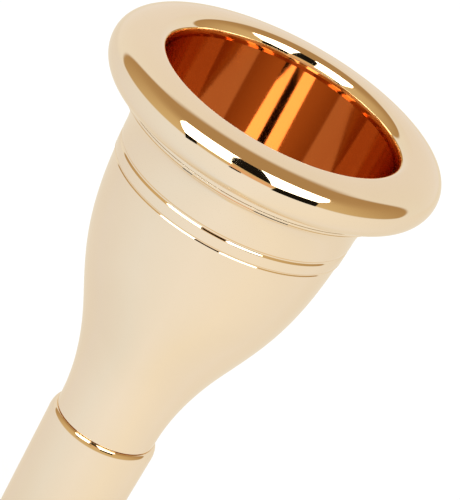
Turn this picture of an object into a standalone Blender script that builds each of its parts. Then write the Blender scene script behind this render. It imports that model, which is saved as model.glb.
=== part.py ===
"""A screw-together cup mouthpiece for a brass instrument, in metres, +Z up.

The origin is the centre of the shank's end face, and +Z runs up the axis towards the rim.
The rim screws onto the cup and the cup onto the shank, both with right-hand threads.
A rubber ring sits at the foot of each male thread.
"""

import math

import bmesh
import bpy

# Driving dimensions, in metres.
TOTAL_LENGTH = 0.081
RIM_RADIUS = 0.019
RIM_CREST_RADIUS = 0.01469
RIM_CREST_HEIGHT = 0.00254
RIM_UNDERSIDE_RADIUS = 0.0162
RIM_UNDERSIDE_DEPTH = 0.00275
SKIRT_RADIUS = 0.0156
SKIRT_DEPTH = 0.0034
BITE_RADIUS = 0.01336
BITE_HEIGHT = 0.00125
SHOULDER_RADIUS = 0.0155
SHOULDER_THICKNESS = 0.00045
BODY_RADIUS = 0.01345
THROAT_RADIUS = 0.00325
NECK_RADIUS = 0.00573
COLLAR_RADIUS = 0.00622
TAPER_TOP_RADIUS = 0.0062
SHANK_TAPER = 0.025
BACKBORE_TOP_RADIUS = 0.0033
BACKBORE_END_RADIUS = 0.0044
WALL_GAP = 0.0003
SEAL_GAP = 0.00015
THREAD_GAP = 0.00012
EDGE_CHAMFER = 0.00015

# Heights above the shank's end face.
RIM_MIDDLE = TOTAL_LENGTH - RIM_CREST_HEIGHT
RIM_FOOT = RIM_MIDDLE - SKIRT_DEPTH
RIM_SEAT = RIM_MIDDLE + 0.0006
CUP_TOP = RIM_SEAT - WALL_GAP
CUP_SHOULDER = RIM_FOOT - WALL_GAP
BODY_TOP = RIM_MIDDLE - 0.0084
BAND_END = RIM_MIDDLE - 0.0112
BOWL_BOTTOM = RIM_MIDDLE - 0.0235
WAIST = RIM_MIDDLE - 0.027
NECK_END = RIM_MIDDLE - 0.04025
COLLAR_TOP = NECK_END - WALL_GAP
SPIGOT_TOP = COLLAR_TOP + 0.0094
SPIGOT_SEAT = SPIGOT_TOP + WALL_GAP

# The bell below the grooves: radii, and the slopes and handle lengths of its two curves.
BAND_END_RADIUS = 0.01318
BAND_SLOPE = 0.07
BELL_HANDLE = 0.00785
WAIST_RADIUS = 0.00912
WAIST_SLOPE = 0.446
WAIST_UPPER_HANDLE = 0.00444
WAIST_LOWER_HANDLE = 0.00186
NECK_HANDLE = 0.00606

# The two turned grooves round the cup: height, half height and depth. The lower one ends in a step.
GROOVES = ((RIM_MIDDLE - 0.0091, 0.00032, 0.00022), (RIM_MIDDLE - 0.01066, 0.0002, 0.00022))
BAND_SLANT = 0.045

# The bowl: its radius at the top, and the handles of its curve down to the throat.
BOWL_TOP_RADIUS = 0.01339
RIM_SEAT_RADIUS = 0.01341
BOWL_SLOPE = 0.1
BOWL_WALL_HANDLE = 0.009
BOWL_FLOOR_HANDLE = 0.0065
THROAT_ROUND = 0.00065
THROAT_ROUND_HEIGHT = 0.0011

# The shank's collar, its end and its backbore.
COLLAR_ROUND = 0.00046
COLLAR_ROUND_HEIGHT = 0.00105
COLLAR_HEIGHT = 0.0017
END_ROUND = 0.0003
BACKBORE_WAIST = 0.024
BACKBORE_WAIST_RADIUS = 0.0035

# Facets round the axis.
RIM_SIDES = 40
SHANK_SIDES = 24
SEAL_SECTION_SIDES = 6
SHADE_ANGLE = math.radians(30.0)


class Joint:
    """A right-hand screw joint: the male core and crest, the seal's recess, and where each part lies."""

    def __init__(self, core, depth, pitch, foot, relief, recess, first, last, sides):
        self.core = core
        self.crest = core + depth
        self.pitch = pitch
        self.foot = foot
        self.relief = relief
        self.relief_top = first - 0.3 * pitch
        self.recess = recess
        self.first = first
        self.last = last
        self.sides = sides
        self.bore = core + THREAD_GAP

    def male_side(self, seat_radius, top):
        """The outline of the male half, from its top edge down to the foot of the relief."""
        return [
            (seat_radius, top),
            (self.core - EDGE_CHAMFER, top),
            (self.core, top - EDGE_CHAMFER),
            (self.core, self.relief_top),
            (self.relief, self.relief_top),
            (self.relief, self.foot),
        ]

    def female_side(self, mouth, seat_radius, seat):
        """The outline of the female half, from the mouth of the seal's recess up to the seat."""
        recess_end = self.foot + SEAL_SPACE
        return [
            (self.recess, mouth),
            (self.recess, recess_end),
            (self.bore, recess_end),
            (self.bore, seat),
            (seat_radius, seat),
        ]


SEAL_SPACE = 0.00105
RIM_JOINT = Joint(
    core=0.0142,
    depth=0.00055,
    pitch=0.0009,
    foot=CUP_SHOULDER,
    relief=0.014,
    recess=0.01505,
    first=CUP_SHOULDER + 0.00155,
    last=CUP_TOP - 0.00048,
    sides=RIM_SIDES,
)
SHANK_JOINT = Joint(
    core=0.00435,
    depth=0.0006,
    pitch=0.0015,
    foot=COLLAR_TOP,
    relief=0.004,
    recess=0.00515,
    first=COLLAR_TOP + 0.0021,
    last=SPIGOT_TOP - 0.00075,
    sides=SHANK_SIDES,
)


def ellipse(centre, across, up, first, last, steps):
    """Points (radius, height) on an ellipse, from the angle first to last, in degrees from +X."""
    angles = [math.radians(first + (last - first) * i / steps) for i in range(steps + 1)]
    return [(centre[0] + across * math.cos(a), centre[1] + up * math.sin(a)) for a in angles]


def bezier(corners, steps):
    """Points on a cubic curve, whose corners are its start, its two handles and its end."""
    points = []
    for i in range(steps + 1):
        t = i / steps
        weights = ((1 - t) ** 3, 3 * t * (1 - t) ** 2, 3 * t * t * (1 - t), t**3)
        points.append(tuple(sum(w * c[k] for w, c in zip(weights, corners)) for k in (0, 1)))
    return points


def material(name, colour, roughness, metallic):
    made = bpy.data.materials.new(name)
    made.use_nodes = True
    shader = made.node_tree.nodes["Principled BSDF"]
    shader.inputs["Base Color"].default_value = (*colour, 1.0)
    shader.inputs["Roughness"].default_value = roughness
    shader.inputs["Metallic"].default_value = metallic
    return made


def new_object(name, mesh, collection):
    made = bpy.data.objects.new(name, mesh)
    collection.objects.link(made)
    return made


def turned(name, outline, sides, collection):
    """Turns a closed outline of (radius, height) points round the Z axis."""
    mesh = bpy.data.meshes.new(name)
    count = len(outline)
    mesh.from_pydata([(r, 0.0, z) for r, z in outline], [(i, (i + 1) % count) for i in range(count)], [])
    made = new_object(name, mesh, collection)
    screw = made.modifiers.new("turn", "SCREW")
    screw.axis = "Z"
    screw.angle = math.tau
    screw.steps = sides
    screw.render_steps = sides
    screw.use_merge_vertices = True
    screw.merge_threshold = 1e-6
    return made


def ridge(name, joint, gap, facets_before, facets_after, tools):
    """The thread's helical ridge, grown by gap and longer by some facets at each end."""
    inner = joint.core - 0.4 * (joint.crest - joint.core)
    outer = joint.crest + gap
    root = 0.25 * joint.pitch + gap
    tip = 0.1 * joint.pitch + gap
    rise = joint.pitch / joint.sides
    start = joint.first - facets_before * rise
    facets = round((joint.last - joint.first) / rise) + facets_before + facets_after
    shape = bmesh.new()
    section = ((inner, -root), (outer, -tip), (outer, tip), (inner, root))
    face = shape.faces.new([shape.verts.new((r, 0.0, start + z)) for r, z in section])
    bmesh.ops.spin(
        shape,
        geom=[face, *face.edges, *face.verts],
        cent=(0.0, 0.0, 0.0),
        axis=(0.0, 0.0, 1.0),
        dvec=(0.0, 0.0, rise),
        angle=math.tau * facets / joint.sides,
        steps=facets,
    )
    bmesh.ops.recalc_face_normals(shape, faces=shape.faces)
    mesh = bpy.data.meshes.new(name)
    shape.to_mesh(mesh)
    shape.free()
    made = new_object(name, mesh, tools)
    # Whole facets before the first turn keep both halves of a thread on the same helix, and half
    # a facet keeps the ridge's edges off the core's.
    made.rotation_euler.z = -math.tau * (facets_before + 0.5) / joint.sides
    made.hide_render = True
    made.display_type = "WIRE"
    return made


def boolean(target, tool, operation):
    modifier = target.modifiers.new(tool.name, "BOOLEAN")
    modifier.operation = operation
    modifier.solver = "EXACT"
    modifier.object = tool


def male_thread(target, joint, tools):
    boolean(target, ridge(target.name + "_ridge", joint, 0.0, 0, 0, tools), "UNION")


def female_thread(target, joint, tools):
    """Cuts the groove, from outside its mouth to a fifth of a turn past the ridge's last turn."""
    before = math.ceil((joint.first - joint.foot) / joint.pitch * joint.sides)
    after = joint.sides // 5
    boolean(target, ridge(target.name + "_groove", joint, THREAD_GAP, before, after, tools), "DIFFERENCE")


def rim_outline():
    """The lip ring: crest, bulging outside, short skirt, threaded bore, and slope up from the bite."""
    top = RIM_MIDDLE + RIM_CREST_HEIGHT
    crest = (RIM_CREST_RADIUS, top)
    outer_handle = (RIM_CREST_RADIUS + 0.65 * (RIM_RADIUS - RIM_CREST_RADIUS), top)
    equator_handle = (RIM_RADIUS, RIM_MIDDLE + 0.675 * RIM_CREST_HEIGHT)
    outside = bezier((crest, outer_handle, equator_handle, (RIM_RADIUS, RIM_MIDDLE)), 7)
    centre = (RIM_UNDERSIDE_RADIUS, RIM_MIDDLE)
    underside = ellipse(centre, RIM_RADIUS - RIM_UNDERSIDE_RADIUS, RIM_UNDERSIDE_DEPTH, 0, -90, 5)
    skirt_top = RIM_MIDDLE - RIM_UNDERSIDE_DEPTH
    skirt = [(SKIRT_RADIUS + EDGE_CHAMFER, skirt_top), (SKIRT_RADIUS, skirt_top - EDGE_CHAMFER)]
    skirt.append((SKIRT_RADIUS, RIM_FOOT))
    bore = RIM_JOINT.female_side(RIM_FOOT, RIM_SEAT_RADIUS, RIM_SEAT)
    bite = (BITE_RADIUS, RIM_MIDDLE + BITE_HEIGHT)
    bite_handle = (BITE_RADIUS + 0.00034, RIM_MIDDLE + BITE_HEIGHT + 0.00043)
    inner_handle = (RIM_CREST_RADIUS - 0.00069, top)
    slope = bezier((bite, bite_handle, inner_handle, crest), 5)
    return outside + underside[1:] + skirt + bore + slope[:-1]


def band_radius(height):
    """The cup's radius on the straight band that holds the grooves."""
    return BODY_RADIUS - BAND_SLANT * (BODY_TOP - height)


def groove_band():
    """The band with its grooves, down to just above the bell."""
    points = []
    for height, half, depth in GROOVES:
        points.append((band_radius(height + half), height + half))
        points.append((band_radius(height) - depth, height))
        points.append((band_radius(height - half), height - half))
    step_top = (BAND_END_RADIUS + 0.00003, points[-1][1])
    return points[:-1] + [step_top]


def bell():
    """The outside below the band, swelling in to the waist and then down to the neck."""
    waist = (WAIST_RADIUS, WAIST)
    above = (WAIST_RADIUS + WAIST_SLOPE * WAIST_UPPER_HANDLE, WAIST + WAIST_UPPER_HANDLE)
    below = (WAIST_RADIUS - WAIST_SLOPE * WAIST_LOWER_HANDLE, WAIST - WAIST_LOWER_HANDLE)
    top = (BAND_END_RADIUS, BAND_END)
    top_handle = (BAND_END_RADIUS - BAND_SLOPE * BELL_HANDLE, BAND_END - BELL_HANDLE)
    neck = (NECK_RADIUS, NECK_END)
    neck_handle = (NECK_RADIUS, NECK_END + NECK_HANDLE)
    return bezier((top, top_handle, above, waist), 6) + bezier((waist, below, neck_handle, neck), 5)[1:]


def bowl():
    """The inside, from the top of the throat up to the cup's top edge."""
    throat_edge = ellipse(
        (THROAT_RADIUS + THROAT_ROUND, BOWL_BOTTOM - THROAT_ROUND_HEIGHT),
        THROAT_ROUND,
        THROAT_ROUND_HEIGHT,
        180,
        90,
        3,
    )
    floor = (THROAT_RADIUS + THROAT_ROUND, BOWL_BOTTOM)
    floor_handle = (floor[0] + BOWL_FLOOR_HANDLE, BOWL_BOTTOM)
    wall_handle = (BOWL_TOP_RADIUS - BOWL_SLOPE * BOWL_WALL_HANDLE, CUP_TOP - BOWL_WALL_HANDLE)
    wall_top = (BOWL_TOP_RADIUS, CUP_TOP)
    return throat_edge + bezier((floor, floor_handle, wall_handle, wall_top), 8)[1:-1]


def cup_outline():
    shoulder_foot = CUP_SHOULDER - SHOULDER_THICKNESS
    shoulder = [(SHOULDER_RADIUS, CUP_SHOULDER), (SHOULDER_RADIUS, shoulder_foot)]
    cove = ellipse(
        (SHOULDER_RADIUS, BODY_TOP),
        SHOULDER_RADIUS - BODY_RADIUS,
        shoulder_foot - BODY_TOP,
        90,
        180,
        5,
    )
    thread = RIM_JOINT.male_side(BOWL_TOP_RADIUS, CUP_TOP)
    socket = SHANK_JOINT.female_side(NECK_END, THROAT_RADIUS, SPIGOT_SEAT)
    return thread + shoulder + cove[1:] + groove_band() + bell() + socket + bowl()


def shank_outline():
    spigot = SHANK_JOINT.male_side(BACKBORE_TOP_RADIUS, SPIGOT_TOP)
    round_centre = (COLLAR_RADIUS - COLLAR_ROUND, COLLAR_TOP - COLLAR_ROUND_HEIGHT)
    collar = ellipse(round_centre, COLLAR_ROUND, COLLAR_ROUND_HEIGHT, 90, 0, 4)
    taper_top = COLLAR_TOP - COLLAR_HEIGHT
    end_radius = TAPER_TOP_RADIUS - SHANK_TAPER * (taper_top - END_ROUND)
    end = ellipse((end_radius - END_ROUND, END_ROUND), END_ROUND, END_ROUND, 0, -90, 2)
    backbore = [(BACKBORE_END_RADIUS, 0.0), (BACKBORE_WAIST_RADIUS, BACKBORE_WAIST)]
    return spigot + collar + [(TAPER_TOP_RADIUS, taper_top)] + end + backbore


def seal(name, joint, collection):
    """A rubber ring in the relief of a male thread, between the relief and the recess round it."""
    section = 0.5 * (joint.recess - joint.relief) - SEAL_GAP
    centre = (0.5 * (joint.recess + joint.relief), joint.foot + SEAL_GAP + section)
    outline = ellipse(centre, section, section, 90, -270, SEAL_SECTION_SIDES)
    return turned(name, outline[:-1], joint.sides, collection)


def smooth(part):
    """Shades the part smooth, apart from its real edges."""
    graph = bpy.context.evaluated_depsgraph_get()
    mesh = bpy.data.meshes.new_from_object(part.evaluated_get(graph))
    part.modifiers.clear()
    part.data = mesh
    mesh.shade_smooth()
    mesh.set_sharp_from_angle(angle=SHADE_ANGLE)


def main():
    for old in list(bpy.data.objects):
        bpy.data.objects.remove(old)
    parts = bpy.data.collections.new("brass_mouthpiece")
    tools = bpy.data.collections.new("cutters")
    for collection in (parts, tools):
        bpy.context.scene.collection.children.link(collection)

    rim = turned("rim", rim_outline(), RIM_SIDES, parts)
    cup = turned("cup", cup_outline(), RIM_SIDES, parts)
    shank = turned("shank", shank_outline(), SHANK_SIDES, parts)
    rim_seal = seal("rim_seal", RIM_JOINT, parts)
    shank_seal = seal("shank_seal", SHANK_JOINT, parts)

    female_thread(rim, RIM_JOINT, tools)
    male_thread(cup, RIM_JOINT, tools)
    female_thread(cup, SHANK_JOINT, tools)
    male_thread(shank, SHANK_JOINT, tools)

    gold = material("gold_plate", (0.93, 0.75, 0.45), 0.12, 1.0)
    rubber = material("seal_rubber", (0.03, 0.03, 0.03), 0.6, 0.0)
    finishes = {rim: gold, cup: gold, shank: gold, rim_seal: rubber, shank_seal: rubber}
    for part, finish in finishes.items():
        smooth(part)
        part.data.materials.clear()
        part.data.materials.append(finish)


main()
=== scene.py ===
import math

import bpy
import numpy as np
from mathutils import Matrix, Vector

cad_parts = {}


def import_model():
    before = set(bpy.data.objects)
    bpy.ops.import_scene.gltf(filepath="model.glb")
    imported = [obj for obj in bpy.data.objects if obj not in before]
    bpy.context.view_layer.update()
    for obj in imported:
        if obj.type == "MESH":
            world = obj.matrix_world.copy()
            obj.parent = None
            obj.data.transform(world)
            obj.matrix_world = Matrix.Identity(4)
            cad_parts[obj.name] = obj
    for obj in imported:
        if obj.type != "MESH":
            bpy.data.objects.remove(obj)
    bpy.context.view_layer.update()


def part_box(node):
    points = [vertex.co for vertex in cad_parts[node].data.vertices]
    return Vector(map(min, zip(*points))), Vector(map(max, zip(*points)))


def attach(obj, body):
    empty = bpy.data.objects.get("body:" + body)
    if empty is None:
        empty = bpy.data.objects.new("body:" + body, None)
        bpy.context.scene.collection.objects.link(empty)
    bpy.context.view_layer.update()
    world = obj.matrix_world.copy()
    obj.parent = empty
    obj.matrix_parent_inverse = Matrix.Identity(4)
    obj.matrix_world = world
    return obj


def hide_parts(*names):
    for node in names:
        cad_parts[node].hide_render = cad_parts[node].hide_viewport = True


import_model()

# Lengths in this script are in millimetres, and METRES turns them into the frame's metres.
METRES = 0.001


def height_of(node, corner):
    """The lowest (0) or highest (1) point of a CAD node, in millimetres."""
    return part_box(node)[corner][2] / METRES


def radius_of(node):
    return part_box(node)[1][0] / METRES


# Heights and radii that the frame gives.
CREST = height_of("rim", 1)
RIM_FOOT = height_of("rim", 0)
RIM_RADIUS = radius_of("rim")
CUP_TOP = height_of("cup", 1)
NECK_END = height_of("cup", 0)
SHOULDER_RADIUS = radius_of("cup")
SPIGOT_TOP = height_of("shank", 1)
COLLAR_RADIUS = radius_of("shank")

# The rim's section. The crest is nearer the bite than the outside.
CREST_RADIUS = 14.69
CREST_RISE = 2.54
RIM_MIDDLE = CREST - CREST_RISE
UNDERSIDE_RADIUS = 16.2
UNDERSIDE_DEPTH = 2.75
SKIRT_RADIUS = 15.6
BITE_RADIUS = 13.39
BITE = RIM_MIDDLE + 0.9
SEAT = RIM_MIDDLE + 0.6

# The cup's outside, downwards from the shoulder that the rim closes on.
SHOULDER = RIM_FOOT - 0.3
SHOULDER_FOOT = SHOULDER - 0.45
BODY_RADIUS = 13.45
BODY_TOP = RIM_MIDDLE - 8.4
BAND_SLANT = 0.045
BAND_END = RIM_MIDDLE - 11.2
BAND_END_RADIUS = 13.18
WAIST = RIM_MIDDLE - 27.0
WAIST_RADIUS = 9.12
NECK_RADIUS = 5.73

# The bowl inside the cup, the throat and the bore.
BOWL_BOTTOM = RIM_MIDDLE - 23.5
THROAT_RADIUS = 3.25
BACKBORE_TOP_RADIUS = 3.3
BACKBORE_END_RADIUS = 4.4

# The shank, downwards from its collar.
COLLAR_TOP = NECK_END - 0.3
TAPER_TOP_RADIUS = 6.2
SHANK_TAPER = 0.025

# How closely two parts meet where they are screwed home: outside, and in the bowl.
SEAM = 0.04
INNER_SEAM = 0.01
INNER_SEAM_RADIUS = 13.4
NECK_FOOT = COLLAR_TOP + SEAM
NECK_CURVE_END = NECK_FOOT + 0.2

# How far the corners of the turned edges are rounded off.
SKIRT_ROUND = 0.1
BITE_ROUND = 0.06
RECESS_ROUND = 0.06
SPIGOT_ROUND = 0.08
LINE_ROUND = 0.04

# The two turned grooves: drop below the rim's middle, half height and depth.
GROOVES = ((9.1, 0.24, 0.16), (10.66, 0.14, 0.1))
STEP_BELOW_GROOVES = 0.1

# Columns of points round the axis, and rows of points for each pitch of a thread.
SIDES = 192
THREAD_SLICES = 14

# Half widths of a ridge at its root and at its crest, in pitches.
ROOT_HALF_WIDTH = 0.46
CREST_HALF_WIDTH = 0.04

# The play between the two halves of a thread, and the height of the space for its seal.
THREAD_PLAY = 0.12
SEAL_SPACE = 1.05


class Thread:
    """A right-hand thread. Its ridge is highest at angle 0 at the height first, and at every pitch from it.

    The relief and the recess are the radii of the plain walls at its foot, where the seal sits.
    """

    def __init__(self, core, depth, pitch, foot, relief, recess, first):
        self.core = core
        self.depth = depth
        self.pitch = pitch
        self.foot = foot
        self.relief = relief
        self.recess = recess
        self.first = first
        self.relief_top = first - 0.3 * pitch

    def ridge(self, height, angle):
        """The ridge's height from 0 to 1, for arrays of heights and angles."""
        turns = (height - self.first) / self.pitch - angle / math.tau
        distance = np.abs(turns - np.round(turns))
        share = np.clip((ROOT_HALF_WIDTH - distance) / (ROOT_HALF_WIDTH - CREST_HALF_WIDTH), 0.0, 1.0)
        return share * share * (3.0 - 2.0 * share)


RIM_THREAD = Thread(
    core=14.2,
    depth=0.55,
    pitch=0.9,
    foot=SHOULDER,
    relief=14.0,
    recess=15.05,
    first=SHOULDER + 1.55,
)
SHANK_THREAD = Thread(
    core=4.35,
    depth=0.6,
    pitch=1.5,
    foot=COLLAR_TOP,
    relief=4.0,
    recess=5.15,
    first=COLLAR_TOP + 2.1,
)


# Outlines. Each point is (radius, height, thread strength).


def arc(centre, across, up, first, last, steps):
    """Points on an ellipse, from the angle first to last, in degrees from +X."""
    angles = [math.radians(first + (last - first) * i / steps) for i in range(steps + 1)]
    return [(centre[0] + across * math.cos(a), centre[1] + up * math.sin(a), 0.0) for a in angles]


def bezier(corners, steps):
    """Points on a cubic curve, whose corners are its start, its two handles and its end."""
    points = []
    for i in range(steps + 1):
        t = i / steps
        weights = ((1 - t) ** 3, 3 * t * (1 - t) ** 2, 3 * t * t * (1 - t), t**3)
        radius, height = (sum(w * c[k] for w, c in zip(weights, corners)) for k in (0, 1))
        points.append((radius, height, 0.0))
    return points


def line(start, end, steps):
    """Points on a straight line."""
    points = []
    for i in range(steps + 1):
        radius = start[0] + (end[0] - start[0]) * i / steps
        height = start[1] + (end[1] - start[1]) * i / steps
        points.append((radius, height, 0.0))
    return points


def corner(before, point, after, radius, steps=4):
    """A corner rounded off: a small curve that leaves towards the points before and after it."""
    here = Vector(point)
    back = here + (Vector(before) - here).normalized() * radius
    on = here + (Vector(after) - here).normalized() * radius
    middle_back = back.lerp(here, 0.55)
    middle_on = on.lerp(here, 0.55)
    return bezier((back, middle_back, middle_on, on), steps)


def edges(points, radius):
    """A run of straight lines whose inner corners are rounded off."""
    run = [(*points[0], 0.0)]
    for before, here, after in zip(points, points[1:], points[2:]):
        run += corner(before, here, after, radius)
    return run + [(*points[-1], 0.0)]


def threaded_wall(radius, start, end, thread, low_lead, high_lead):
    """A straight threaded wall. Its thread fades out over a lead at each end, unless the low lead is 0."""
    steps = max(2, round(abs(end - start) / thread.pitch * THREAD_SLICES))
    points = line((radius, start), (radius, end), steps)
    low, high = sorted((start, end))
    wall = []
    for r, z, _ in points:
        rise = (z - low) / low_lead if low_lead else 1.0
        wall.append((r, z, min(1.0, rise, (high - z) / high_lead)))
    return wall


def male_side(thread, top, inner_radius):
    """The threaded spigot, from its top edge down to the foot of its relief."""
    chamfer = 0.35 * thread.depth
    head = edges(
        [(inner_radius, top), (thread.core - chamfer, top), (thread.core, top - chamfer)],
        SPIGOT_ROUND,
    )
    wall = threaded_wall(
        thread.core, top - chamfer, thread.relief_top, thread, 0.5 * thread.pitch, 0.3 * thread.pitch
    )
    foot = edges(
        [
            (thread.core, thread.relief_top),
            (thread.relief, thread.relief_top - 0.15),
            (thread.relief, thread.foot),
        ],
        SPIGOT_ROUND,
    )
    return head[:-1] + wall + foot[1:]


def female_side(thread, mouth, seat, inner_radius):
    """The threaded bore, from the mouth of the seal's recess up to the seat."""
    bore = thread.core + THREAD_PLAY
    recess_end = thread.foot + SEAL_SPACE
    recess = edges(
        [(thread.recess, mouth), (thread.recess, recess_end), (bore, recess_end)], RECESS_ROUND
    )
    wall = threaded_wall(bore, recess_end, seat, thread, 0.0, 0.3 * thread.pitch)
    return recess[:-1] + wall + [(inner_radius, seat, 0.0)]


def rim_outline():
    """The lip ring, from its crest down the outside and up the threaded bore to the bite."""
    crest = (CREST_RADIUS, CREST)
    # The outer half is fuller than an ellipse.
    outside = bezier(
        (
            crest,
            (CREST_RADIUS + 0.65 * (RIM_RADIUS - CREST_RADIUS), CREST),
            (RIM_RADIUS, RIM_MIDDLE + 0.675 * CREST_RISE),
            (RIM_RADIUS, RIM_MIDDLE),
        ),
        48,
    )
    centre = (UNDERSIDE_RADIUS, RIM_MIDDLE)
    underside = arc(centre, RIM_RADIUS - UNDERSIDE_RADIUS, UNDERSIDE_DEPTH, 0, -86, 32)
    # The skirt reaches down to the shoulder, where the two parts meet.
    foot = SHOULDER + SEAM
    fillet = 0.22
    skirt_top = RIM_MIDDLE - UNDERSIDE_DEPTH - fillet
    fillet_curve = arc((SKIRT_RADIUS + fillet, skirt_top), fillet, fillet, 90, 180, 8)
    skirt = corner((SKIRT_RADIUS, skirt_top), (SKIRT_RADIUS, foot), (RIM_THREAD.recess, foot), SKIRT_ROUND)
    bore = female_side(RIM_THREAD, foot, SEAT, INNER_SEAM_RADIUS)
    bite_handle = (BITE_RADIUS + 0.03, BITE + 1.1)
    bite = corner((INNER_SEAM_RADIUS, SEAT), (BITE_RADIUS, BITE), bite_handle, BITE_ROUND, 6)
    slope = bezier((bite[-1][:2], bite_handle, (CREST_RADIUS - 0.7, CREST), crest), 40)
    return outside + underside[1:] + fillet_curve + skirt + bore[1:] + bite + slope[1:-1]


def band_radius(height):
    """The cup's radius on the straight band that holds the grooves."""
    return BODY_RADIUS - BAND_SLANT * (BODY_TOP - height)


def groove(height, half, depth):
    """A round-bottomed groove with softened edges, which reach past its half height."""
    reach = 1.35 * half
    half_steps = 6
    points = []
    for i in range(2 * half_steps + 1):
        across = -1.0 + i / half_steps
        dip = depth * (0.5 + 0.5 * math.cos(math.pi * across)) ** 0.8
        z = height - across * reach
        points.append((band_radius(z) - dip, z, 0.0))
    return points


def cup_outside():
    """The cove under the shoulder, the band with its grooves, the bell and the stem."""
    cove_top = SHOULDER_RADIUS - 0.1
    cove = arc((cove_top, BODY_TOP), cove_top - BODY_RADIUS, SHOULDER_FOOT - BODY_TOP, 90, 180, 32)
    band = []
    for drop, half, depth in GROOVES:
        band += groove(RIM_MIDDLE - drop, half, depth)
    last_radius, last_height, _ = band[-1]
    band[-1] = (last_radius - STEP_BELOW_GROOVES, last_height, 0.0)
    bell = bezier(
        (
            (BAND_END_RADIUS, BAND_END),
            (BAND_END_RADIUS - 0.55, BAND_END - 7.85),
            (WAIST_RADIUS + 1.98, WAIST + 4.44),
            (WAIST_RADIUS, WAIST),
        ),
        40,
    )
    stem = bezier(
        (
            (WAIST_RADIUS, WAIST),
            (WAIST_RADIUS - 0.83, WAIST - 1.86),
            (NECK_RADIUS, NECK_END + 6.06),
            (NECK_RADIUS, NECK_CURVE_END),
        ),
        30,
    )
    return cove[1:] + band + bell + stem[1:]


def bowl():
    """The inside, from the top of the throat up to the cup's top edge."""
    edge_width = 0.65
    edge_height = 1.1
    edge_top_radius = THROAT_RADIUS + edge_width
    edge_centre = (edge_top_radius, BOWL_BOTTOM - edge_height)
    throat_edge = arc(edge_centre, edge_width, edge_height, 180, 90, 10)
    wall = bezier(
        (
            (edge_top_radius, BOWL_BOTTOM),
            (edge_top_radius + 6.5, BOWL_BOTTOM),
            (INNER_SEAM_RADIUS - 0.9, CUP_TOP - 9.0),
            (INNER_SEAM_RADIUS, SEAT - INNER_SEAM),
        ),
        60,
    )
    return throat_edge + wall[1:-1]


def cup_outline():
    """The cup, from its threaded top down the outside, and up through the socket and the bowl."""
    spigot = male_side(RIM_THREAD, SEAT - INNER_SEAM, INNER_SEAM_RADIUS)
    # A fine turned line runs round the shoulder, just above the cove.
    line_top = SHOULDER_FOOT + 0.24
    shoulder = edges(
        [
            (RIM_THREAD.relief, SHOULDER),
            (SHOULDER_RADIUS, SHOULDER),
            (SHOULDER_RADIUS, line_top),
            (SHOULDER_RADIUS - 0.11, line_top - 0.06),
            (SHOULDER_RADIUS - 0.05, SHOULDER_FOOT + 0.05),
            (SHOULDER_RADIUS - 0.1, SHOULDER_FOOT - 0.05),
        ],
        LINE_ROUND,
    )
    neck = edges(
        [(NECK_RADIUS, NECK_CURVE_END), (NECK_RADIUS, NECK_FOOT), (SHANK_THREAD.recess, NECK_FOOT)],
        SPIGOT_ROUND,
    )
    socket = female_side(SHANK_THREAD, NECK_FOOT, SPIGOT_TOP + 0.3, THROAT_RADIUS)
    return spigot + shoulder[1:-1] + cup_outside() + neck[1:-1] + socket + bowl()


def shank_outline():
    """The shank, from its threaded spigot down the outside and up the backbore."""
    spigot = male_side(SHANK_THREAD, SPIGOT_TOP, BACKBORE_TOP_RADIUS)
    round_height = 1.2
    round_width = 0.48
    widest = COLLAR_TOP - round_height
    collar = arc((COLLAR_RADIUS - round_width, widest), round_width, round_height, 90, 0, 16)
    taper_top = COLLAR_TOP - 1.7
    swell = bezier(
        (
            (COLLAR_RADIUS, widest),
            (COLLAR_RADIUS, widest - 0.05),
            (TAPER_TOP_RADIUS + 0.01, taper_top + 0.4),
            (TAPER_TOP_RADIUS, taper_top),
        ),
        8,
    )
    end_round = 0.3
    end_radius = TAPER_TOP_RADIUS - SHANK_TAPER * (taper_top - end_round)
    taper = line((TAPER_TOP_RADIUS, taper_top), (end_radius, end_round), 20)
    end = arc((end_radius - end_round, end_round), end_round, end_round, 0, -90, 8)
    mouth_round = 0.15
    mouth = corner(
        (end_radius - end_round, 0.0), (BACKBORE_END_RADIUS, 0.0), (BACKBORE_END_RADIUS, 1.0), mouth_round
    )
    backbore = bezier(
        (
            (BACKBORE_END_RADIUS, 2.0 * mouth_round),
            (BACKBORE_END_RADIUS - 0.3, 12.0),
            (BACKBORE_TOP_RADIUS + 0.1, 24.0),
            (BACKBORE_TOP_RADIUS, SPIGOT_TOP),
        ),
        24,
    )
    return spigot + collar + swell[1:] + taper[1:] + end[1:] + mouth + backbore[1:-1]


def seal_outline(thread):
    """A round rubber ring between the relief of a thread and the recess round it."""
    side_gap = 0.13
    foot_gap = 0.02
    section = 0.5 * (thread.recess - thread.relief) - side_gap
    centre = (0.5 * (thread.recess + thread.relief), thread.foot + foot_gap + section)
    return arc(centre, section, section, 90, -270, 24)[:-1]


# Meshes.


# Points of an outline that are closer than this are one point.
SAME_POINT = 0.002


def without_repeats(outline):
    """Drops points that repeat the one before them."""
    kept = []
    for point in outline:
        if not kept or math.dist(point[:2], kept[-1][:2]) > SAME_POINT:
            kept.append(point)
    if math.dist(kept[0][:2], kept[-1][:2]) <= SAME_POINT:
        kept.pop()
    return kept


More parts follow.
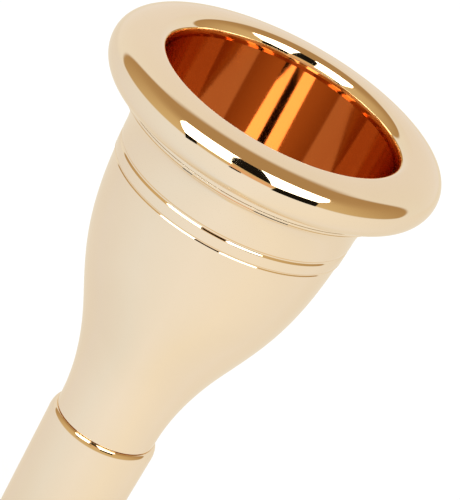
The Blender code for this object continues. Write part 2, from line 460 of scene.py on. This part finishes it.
def turned(name, outline, finish, threads=()):
    """Turns a closed outline round the axis. A thread lifts the points that carry its strength."""
    outline = without_repeats(outline)
    radius, height, strength = (np.array(column)[:, None] for column in zip(*outline))
    angle = np.linspace(0.0, math.tau, SIDES, endpoint=False)[None, :]
    lift = np.zeros((len(outline), SIDES))
    for thread, low, high in threads:
        inside = (height > low) & (height < high)
        lift += np.where(inside, strength, 0.0) * thread.depth * thread.ridge(height, angle)
    around = radius + lift
    points = np.stack(
        [around * np.cos(angle), around * np.sin(angle), height + 0.0 * angle], axis=-1
    )
    rows, sides = around.shape
    index = np.arange(rows * sides).reshape(rows, sides)
    below = np.roll(index, -1, axis=0)
    faces = np.stack([index, below, np.roll(below, -1, axis=1), np.roll(index, -1, axis=1)], axis=-1)
    mesh = bpy.data.meshes.new(name)
    mesh.from_pydata((points.reshape(-1, 3) * METRES).tolist(), [], faces.reshape(-1, 4).tolist())
    mesh.shade_smooth()
    mesh.set_sharp_from_angle(angle=math.radians(40.0))
    mesh.materials.append(finish)
    made = bpy.data.objects.new(name, mesh)
    bpy.context.scene.collection.objects.link(made)
    return made


# Materials.


def shader_of(name):
    """A new material, with its node tree and its Principled shader."""
    made = bpy.data.materials.new(name)
    made.use_nodes = True
    return made, made.node_tree, made.node_tree.nodes["Principled BSDF"]


def node(tree, kind, **settings):
    """A new shader node. Each setting is a property of the node, or else the value of an input."""
    made = tree.nodes.new(kind)
    for key, value in settings.items():
        if hasattr(made, key):
            setattr(made, key, value)
        else:
            made.inputs[key.replace("_", " ").title()].default_value = value
    return made


def noise(tree, scale, detail, stretch=(1.0, 1.0, 1.0)):
    """Noise over the object's own coordinates, which can be stretched along an axis."""
    coordinates = node(tree, "ShaderNodeTexCoord")
    mapping = node(tree, "ShaderNodeMapping")
    mapping.inputs["Scale"].default_value = stretch
    texture = node(tree, "ShaderNodeTexNoise", scale=scale, detail=detail)
    tree.links.new(coordinates.outputs["Object"], mapping.inputs["Vector"])
    tree.links.new(mapping.outputs["Vector"], texture.inputs["Vector"])
    return texture.outputs["Fac"]


def ramp(tree, value, low, high, first, last):
    """Maps value from first..last to the colours or grey levels low..high."""
    made = node(tree, "ShaderNodeValToRGB")
    made.color_ramp.elements[0].position = first
    made.color_ramp.elements[1].position = last
    made.color_ramp.elements[0].color = low if isinstance(low, tuple) else (low, low, low, 1.0)
    made.color_ramp.elements[1].color = high if isinstance(high, tuple) else (high, high, high, 1.0)
    tree.links.new(value, made.inputs["Fac"])
    return made.outputs["Color"]


def math_node(tree, operation, first, second):
    """A maths node. Each input is a link or a number."""
    made = node(tree, "ShaderNodeMath")
    made.operation = operation
    for socket, value in zip(made.inputs, (first, second)):
        if isinstance(value, float):
            socket.default_value = value
        else:
            tree.links.new(value, socket)
    return made.outputs["Value"]


# The painted shade in the bowl, a darker and redder gold, covers what lies between these heights and nearer
# the axis than a limit, which grows with the height and stays inside the cup's wall.
MASK_BOTTOM = BOWL_BOTTOM - 1.3
MASK_WIDE_FROM = RIM_MIDDLE - 7.5
MASK_TOP = BITE + 0.05
MASK_BOTTOM_RADIUS = 9.72
MASK_TOP_RADIUS = 13.425


def bowl_shade_mask(tree):
    """Where the bowl's painted shade goes: 1 on the bowl's inside and 0 elsewhere, nearer the axis than the
    middle of the cup's wall.
    """
    coordinates = node(tree, "ShaderNodeTexCoord")
    split = node(tree, "ShaderNodeSeparateXYZ")
    flat = node(tree, "ShaderNodeMapping")
    flat.inputs["Scale"].default_value = (1.0, 1.0, 0.0)
    length = node(tree, "ShaderNodeVectorMath")
    length.operation = "LENGTH"
    tree.links.new(coordinates.outputs["Object"], split.inputs["Vector"])
    tree.links.new(coordinates.outputs["Object"], flat.inputs["Vector"])
    tree.links.new(flat.outputs["Vector"], length.inputs[0])
    wall = node(tree, "ShaderNodeMapRange")
    tree.links.new(split.outputs["Z"], wall.inputs["Value"])
    bottom = MASK_BOTTOM * METRES
    limits = {
        "From Min": MASK_BOTTOM,
        "From Max": MASK_WIDE_FROM,
        "To Min": MASK_BOTTOM_RADIUS,
        "To Max": MASK_TOP_RADIUS,
    }
    for name, value in limits.items():
        wall.inputs[name].default_value = value * METRES
    inside = math_node(tree, "LESS_THAN", length.outputs["Value"], wall.outputs["Result"])
    above = math_node(tree, "GREATER_THAN", split.outputs["Z"], bottom)
    below = math_node(tree, "LESS_THAN", split.outputs["Z"], MASK_TOP * METRES)
    return math_node(tree, "MULTIPLY", math_node(tree, "MULTIPLY", inside, above), below)


# Each pair is the darker and the lighter end of a material's mottled colour.
PALE_GOLD = ((0.855, 0.69, 0.455, 1.0), (0.88, 0.715, 0.485, 1.0))
# The bowl's gold is painted shade: darker and redder, for the light that bounces round inside the bowl.
BOWL_SHADE_GOLD = ((0.755, 0.45, 0.245, 1.0), (0.785, 0.475, 0.265, 1.0))
BLACK_RUBBER = ((0.018, 0.018, 0.019, 1.0), (0.045, 0.044, 0.042, 1.0))


def gold_plate():
    """Polished pale gold over turned brass, with painted shade inside the bowl: a darker, redder gold
    there, for the light that bounces round inside it.
    """
    made, tree, shader = shader_of("gold_plate")
    shader.inputs["Metallic"].default_value = 1.0
    clouds = noise(tree, 55.0, 3.0)
    pale = ramp(tree, clouds, *PALE_GOLD, 0.35, 0.65)
    # Painted shade for the bowl, mixed in over the pale gold where the bowl's mask is 1.
    bowl_shade = ramp(tree, clouds, *BOWL_SHADE_GOLD, 0.35, 0.65)
    tone = node(tree, "ShaderNodeMix")
    tone.data_type = "RGBA"
    tree.links.new(bowl_shade_mask(tree), tone.inputs["Factor"])
    tree.links.new(pale, tone.inputs["A"])
    tree.links.new(bowl_shade, tone.inputs["B"])
    tree.links.new(tone.outputs["Result"], shader.inputs["Base Color"])
    smears = noise(tree, 160.0, 5.0, (1.0, 1.0, 0.35))
    gloss = ramp(tree, smears, 0.035, 0.075, 0.4, 0.7)
    tree.links.new(gloss, shader.inputs["Roughness"])
    lines = noise(tree, 30.0, 2.0, (0.6, 0.6, 260.0))
    bump = node(tree, "ShaderNodeBump")
    bump.inputs["Strength"].default_value = 0.015
    bump.inputs["Distance"].default_value = 0.00002
    tree.links.new(lines, bump.inputs["Height"])
    tree.links.new(bump.outputs["Normal"], shader.inputs["Normal"])
    return made


def seal_rubber():
    """Matt black rubber with a fine grain and a trace of dust."""
    made, tree, shader = shader_of("seal_rubber")
    grain = noise(tree, 2500.0, 4.0)
    tone = ramp(tree, grain, *BLACK_RUBBER, 0.3, 0.75)
    tree.links.new(tone, shader.inputs["Base Color"])
    gloss = ramp(tree, grain, 0.5, 0.7, 0.3, 0.7)
    tree.links.new(gloss, shader.inputs["Roughness"])
    bump = node(tree, "ShaderNodeBump")
    bump.inputs["Strength"].default_value = 0.3
    bump.inputs["Distance"].default_value = 0.00003
    tree.links.new(grain, bump.inputs["Height"])
    tree.links.new(bump.outputs["Normal"], shader.inputs["Normal"])
    return made


def flat_tone(name, colour, strength):
    """A surface that gives off one even tone: a studio light or a card."""
    made = bpy.data.materials.new(name)
    made.use_nodes = True
    tree = made.node_tree
    tree.nodes.clear()
    glow = node(tree, "ShaderNodeEmission")
    glow.inputs["Color"].default_value = (*colour, 1.0)
    glow.inputs["Strength"].default_value = strength
    output = node(tree, "ShaderNodeOutputMaterial")
    tree.links.new(glow.outputs["Emission"], output.inputs["Surface"])
    return made


# The studio.

STUDIO_CENTRE = Vector((0.0, 0.0, RIM_MIDDLE * METRES))


def direction(azimuth, elevation):
    """Azimuth 0 is the camera's side, -Y, and grows towards +X. Both angles are in degrees."""
    a = math.radians(azimuth)
    e = math.radians(elevation)
    return Vector((math.cos(e) * math.sin(a), -math.cos(e) * math.cos(a), math.sin(e)))


def staged(name, points, faces, finish):
    """A piece of the studio, which isn't part of the object."""
    mesh = bpy.data.meshes.new(name)
    mesh.from_pydata(points, [], faces)
    mesh.materials.append(finish)
    made = bpy.data.objects.new(name, mesh)
    bpy.context.scene.collection.objects.link(made)
    return made


def reflection_only(card):
    """A card that the metal mirrors, and that neither the camera nor the floor sees."""
    card.visible_camera = False
    card.visible_diffuse = False
    card.visible_shadow = False


# The light panels and flags hang in one leaning plane in front of the rim. A point in it is given
# in millimetres as (across, up), from a point level with the panels' lower edges.
PLANE_FOOT = Vector((0.0, -75.0, RIM_MIDDLE + 28.7))
PLANE_UP = Vector((0.0, 18.5, 59.3)).normalized()


def panel(name, corners, setback, finish):
    """A flat card in the leaning plane, or set back behind it."""
    back = Vector((0.0, -setback, 0.0))
    points = [(PLANE_FOOT + back + Vector((x, 0.0, 0.0)) + up * PLANE_UP) * METRES for x, up in corners]
    reflection_only(staged(name, points, [tuple(range(len(points)))], finish))


def blend(keys, at):
    """The colour at a place along a list of (place, colour) keys."""
    places = [place for place, _ in keys]
    return tuple(float(np.interp(at, places, [colour[k] for _, colour in keys])) for k in range(3))


def smoothstep(value, first, last):
    """Rises smoothly from 0 at first to 1 at last."""
    share = min(1.0, max(0.0, (value - first) / (last - first)))
    return share * share * (3.0 - 2.0 * share)


# The tones round the object, by azimuth: the floor, and the pale tent above it.
FLOOR_TONES = (
    (-180.0, (0.86, 0.78, 0.62)),
    (-116.0, (0.885, 0.89, 0.965)),
    (-56.0, (0.93, 0.975, 1.10)),
    (0.0, (1.0, 1.02, 1.12)),
    (56.0, (1.01, 1.0, 1.02)),
    (116.0, (0.95, 0.94, 0.975)),
    (180.0, (0.86, 0.78, 0.62)),
)
TENT_TONES = ((0.0, (0.94, 0.95, 0.98)), (110.0, (0.94, 0.95, 0.98)), (180.0, (0.91, 0.87, 0.87)))
# The brown wall and ceiling, by elevation.
CEILING_TONE = (0.47, 0.30, 0.145)
WALL_TONES = ((5.0, (0.72, 0.55, 0.31)), (35.0, (0.68, 0.50, 0.27)), (62.0, CEILING_TONE))
# The brown's lower edge, in degrees: the wall's foot in front and the ceiling's edge behind.
WALL_FOOT = 1.0
CEILING_EDGE = 48.0
WALL_SOFTNESS = 2.0
CEILING_SOFTNESS = 12.0
HORIZON_SOFTNESS = 6.0


def surroundings_tone(azimuth, elevation):
    """A pale tent over a white floor, with a brown wall in front that rises into a brown ceiling."""
    floor_tone = np.array(blend(FLOOR_TONES, azimuth))
    tent_tone = np.array(blend(TENT_TONES, abs(azimuth)))
    share = smoothstep(elevation, -HORIZON_SOFTNESS, HORIZON_SOFTNESS)
    pale = floor_tone + (tent_tone - floor_tone) * share
    rise = (CEILING_EDGE - WALL_FOOT) * smoothstep(abs(azimuth), 108.0, 150.0)
    lower_edge = WALL_FOOT + rise
    softening = (CEILING_SOFTNESS - WALL_SOFTNESS) * smoothstep(abs(azimuth), 100.0, 150.0)
    softness = WALL_SOFTNESS + softening
    cover = smoothstep(elevation, lower_edge, lower_edge + softness)
    wall_tone = np.array(blend(WALL_TONES, elevation))
    ceiling_tone = np.array(CEILING_TONE)
    brown = wall_tone + (ceiling_tone - wall_tone) * smoothstep(abs(azimuth), 50.0, 140.0)
    return pale + (brown - pale) * cover


def surroundings():
    """A painted sphere that only the metal mirrors."""
    painted = bpy.data.materials.new("surroundings")
    painted.use_nodes = True
    tree = painted.node_tree
    tree.nodes.clear()
    paint = node(tree, "ShaderNodeVertexColor")
    paint.layer_name = "tone"
    glow = node(tree, "ShaderNodeEmission")
    output = node(tree, "ShaderNodeOutputMaterial")
    tree.links.new(paint.outputs["Color"], glow.inputs["Color"])
    tree.links.new(glow.outputs["Emission"], output.inputs["Surface"])
    across = 180
    up = 90
    distance = 4.0
    lowest = -89.9
    points = []
    tones = []
    for j in range(up + 1):
        for i in range(across + 1):
            azimuth = -180.0 + 360.0 * i / across
            elevation = lowest * (1.0 - 2.0 * j / up)
            points.append(STUDIO_CENTRE + distance * direction(azimuth, elevation))
            tones.append((*surroundings_tone(azimuth, elevation), 1.0))
    row = across + 1
    faces = [
        (j * row + i, j * row + i + 1, (j + 1) * row + i + 1, (j + 1) * row + i)
        for j in range(up)
        for i in range(across)
    ]
    sphere = staged("surroundings", points, faces, painted)
    layer = sphere.data.color_attributes.new("tone", "FLOAT_COLOR", "POINT")
    layer.data.foreach_set("color", np.array(tones).ravel())
    reflection_only(sphere)


def cards():
    """Two soft lights with black flags below them and a dark gap between, over a warm strip."""
    light = flat_tone("light_tone", (1.0, 0.99, 0.97), 5.0)
    black = flat_tone("flag_tone", (0.01, 0.008, 0.006), 1.0)
    warm = flat_tone("warm_tone", (0.85, 0.50, 0.28), 1.0)
    left = ((-64, -8), (-11, -9), (-12.5, 11), (-13, 48), (-8.5, 78), (-86, 108), (-82, 57))
    right = ((27, -6), (76, 13), (100, 63), (112, 112), (12, 78), (16.5, 35), (23, -7))
    panel("left_light", left, 0.0, light)
    panel("right_light", right, 0.0, light)
    panel("camera_slot", ((-20, 3), (30, -6), (30, 76), (-20, 76)), 2.0, black)
    panel("warm_strip", ((-14, -9), (26, -9), (26, -27), (-14, -25)), 3.0, warm)
    panel("left_flag", ((-66, -38), (-47, -28), (-46, -11), (-64, -8)), -0.5, black)
    panel("right_flag", ((26, -36), (81, -30), (76, 13), (27, -6)), -0.5, black)
    panel("small_flag", ((-13, -34), (-1.5, -32), (-2, -25), (-11, -25)), -0.5, black)


def floor():
    """A plain pale floor that the object stands on."""
    made, tree, shader = shader_of("floor")
    shader.inputs["Base Color"].default_value = (0.95, 0.95, 0.945, 1.0)
    shader.inputs["Roughness"].default_value = 0.7
    shader.inputs["Specular IOR Level"].default_value = 0.2
    half = 6.0
    clearance = 0.0001
    level = height_of("shank", 0) * METRES - clearance
    corners = [(-half, -half, level), (half, -half, level), (half, half, level), (-half, half, level)]
    plane = staged("floor", corners, [(0, 1, 2, 3)], made)
    # The metal mirrors the painted surroundings instead.
    plane.visible_glossy = False


def world():
    """Even white light from all round."""
    made = bpy.data.worlds.new("studio")
    made.use_nodes = True
    background = made.node_tree.nodes["Background"]
    background.inputs["Color"].default_value = (1.0, 1.0, 1.0, 1.0)
    background.inputs["Strength"].default_value = 1.1
    bpy.context.scene.world = made


# The camera looks down on the object from in front, rolled so that the object leans to the right.
CAMERA_DISTANCE = 0.45
CAMERA_ELEVATION = math.radians(24.0)
CAMERA_ROLL = math.radians(29.27)
CAMERA_LENS = 308.7
SENSOR_WIDTH = 36.0
TARGET_BELOW_RIM = 15.81
TARGET_SIDE = 2.62


def camera():
    """The scene's camera."""
    target = Vector((TARGET_SIDE, 0.0, RIM_MIDDLE - TARGET_BELOW_RIM)) * METRES
    away = Vector((0.0, -math.cos(CAMERA_ELEVATION), math.sin(CAMERA_ELEVATION)))
    data = bpy.data.cameras.new("camera")
    data.lens = CAMERA_LENS
    data.sensor_width = SENSOR_WIDTH
    data.clip_start = 0.01
    made = bpy.data.objects.new("camera", data)
    bpy.context.scene.collection.objects.link(made)
    upright = Matrix.Rotation(math.radians(90.0) - CAMERA_ELEVATION, 4, "X")
    roll = Matrix.Rotation(CAMERA_ROLL, 4, "Z")
    made.matrix_world = Matrix.Translation(target + CAMERA_DISTANCE * away) @ upright @ roll
    bpy.context.scene.camera = made


def build():
    """Turns the five pieces and hangs each on its CAD node."""
    gold = gold_plate()
    rubber = seal_rubber()
    # Each thread comes with the heights between which it is cut.
    rim_threads = [(RIM_THREAD, SHOULDER, CREST)]
    shank_threads = [(SHANK_THREAD, 0.0, SHOULDER)]
    cup_threads = rim_threads + shank_threads
    pieces = (
        ("rim_turned", rim_outline(), gold, rim_threads, "rim", "gold_plate"),
        ("cup_turned", cup_outline(), gold, cup_threads, "cup", "gold_plate"),
        ("shank_turned", shank_outline(), gold, shank_threads, "shank", "gold_plate"),
        ("rim_seal_ring", seal_outline(RIM_THREAD), rubber, (), "rim_seal", "seal_rubber"),
        ("shank_seal_ring", seal_outline(SHANK_THREAD), rubber, (), "shank_seal", "seal_rubber"),
    )
    for name, outline, finish, threads, part, slot in pieces:
        piece = turned(name, outline, finish, threads)
        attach(piece, part)
        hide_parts(part)


def colour_management():
    """Plain colours, and enough bounces for the bowl."""
    scene = bpy.context.scene
    scene.view_settings.view_transform = "Standard"
    # Light bounces many times inside the bowl before it leaves.
    scene.cycles.max_bounces = 24
    scene.cycles.glossy_bounces = 24


build()
surroundings()
cards()
floor()
world()
camera()
colour_management()
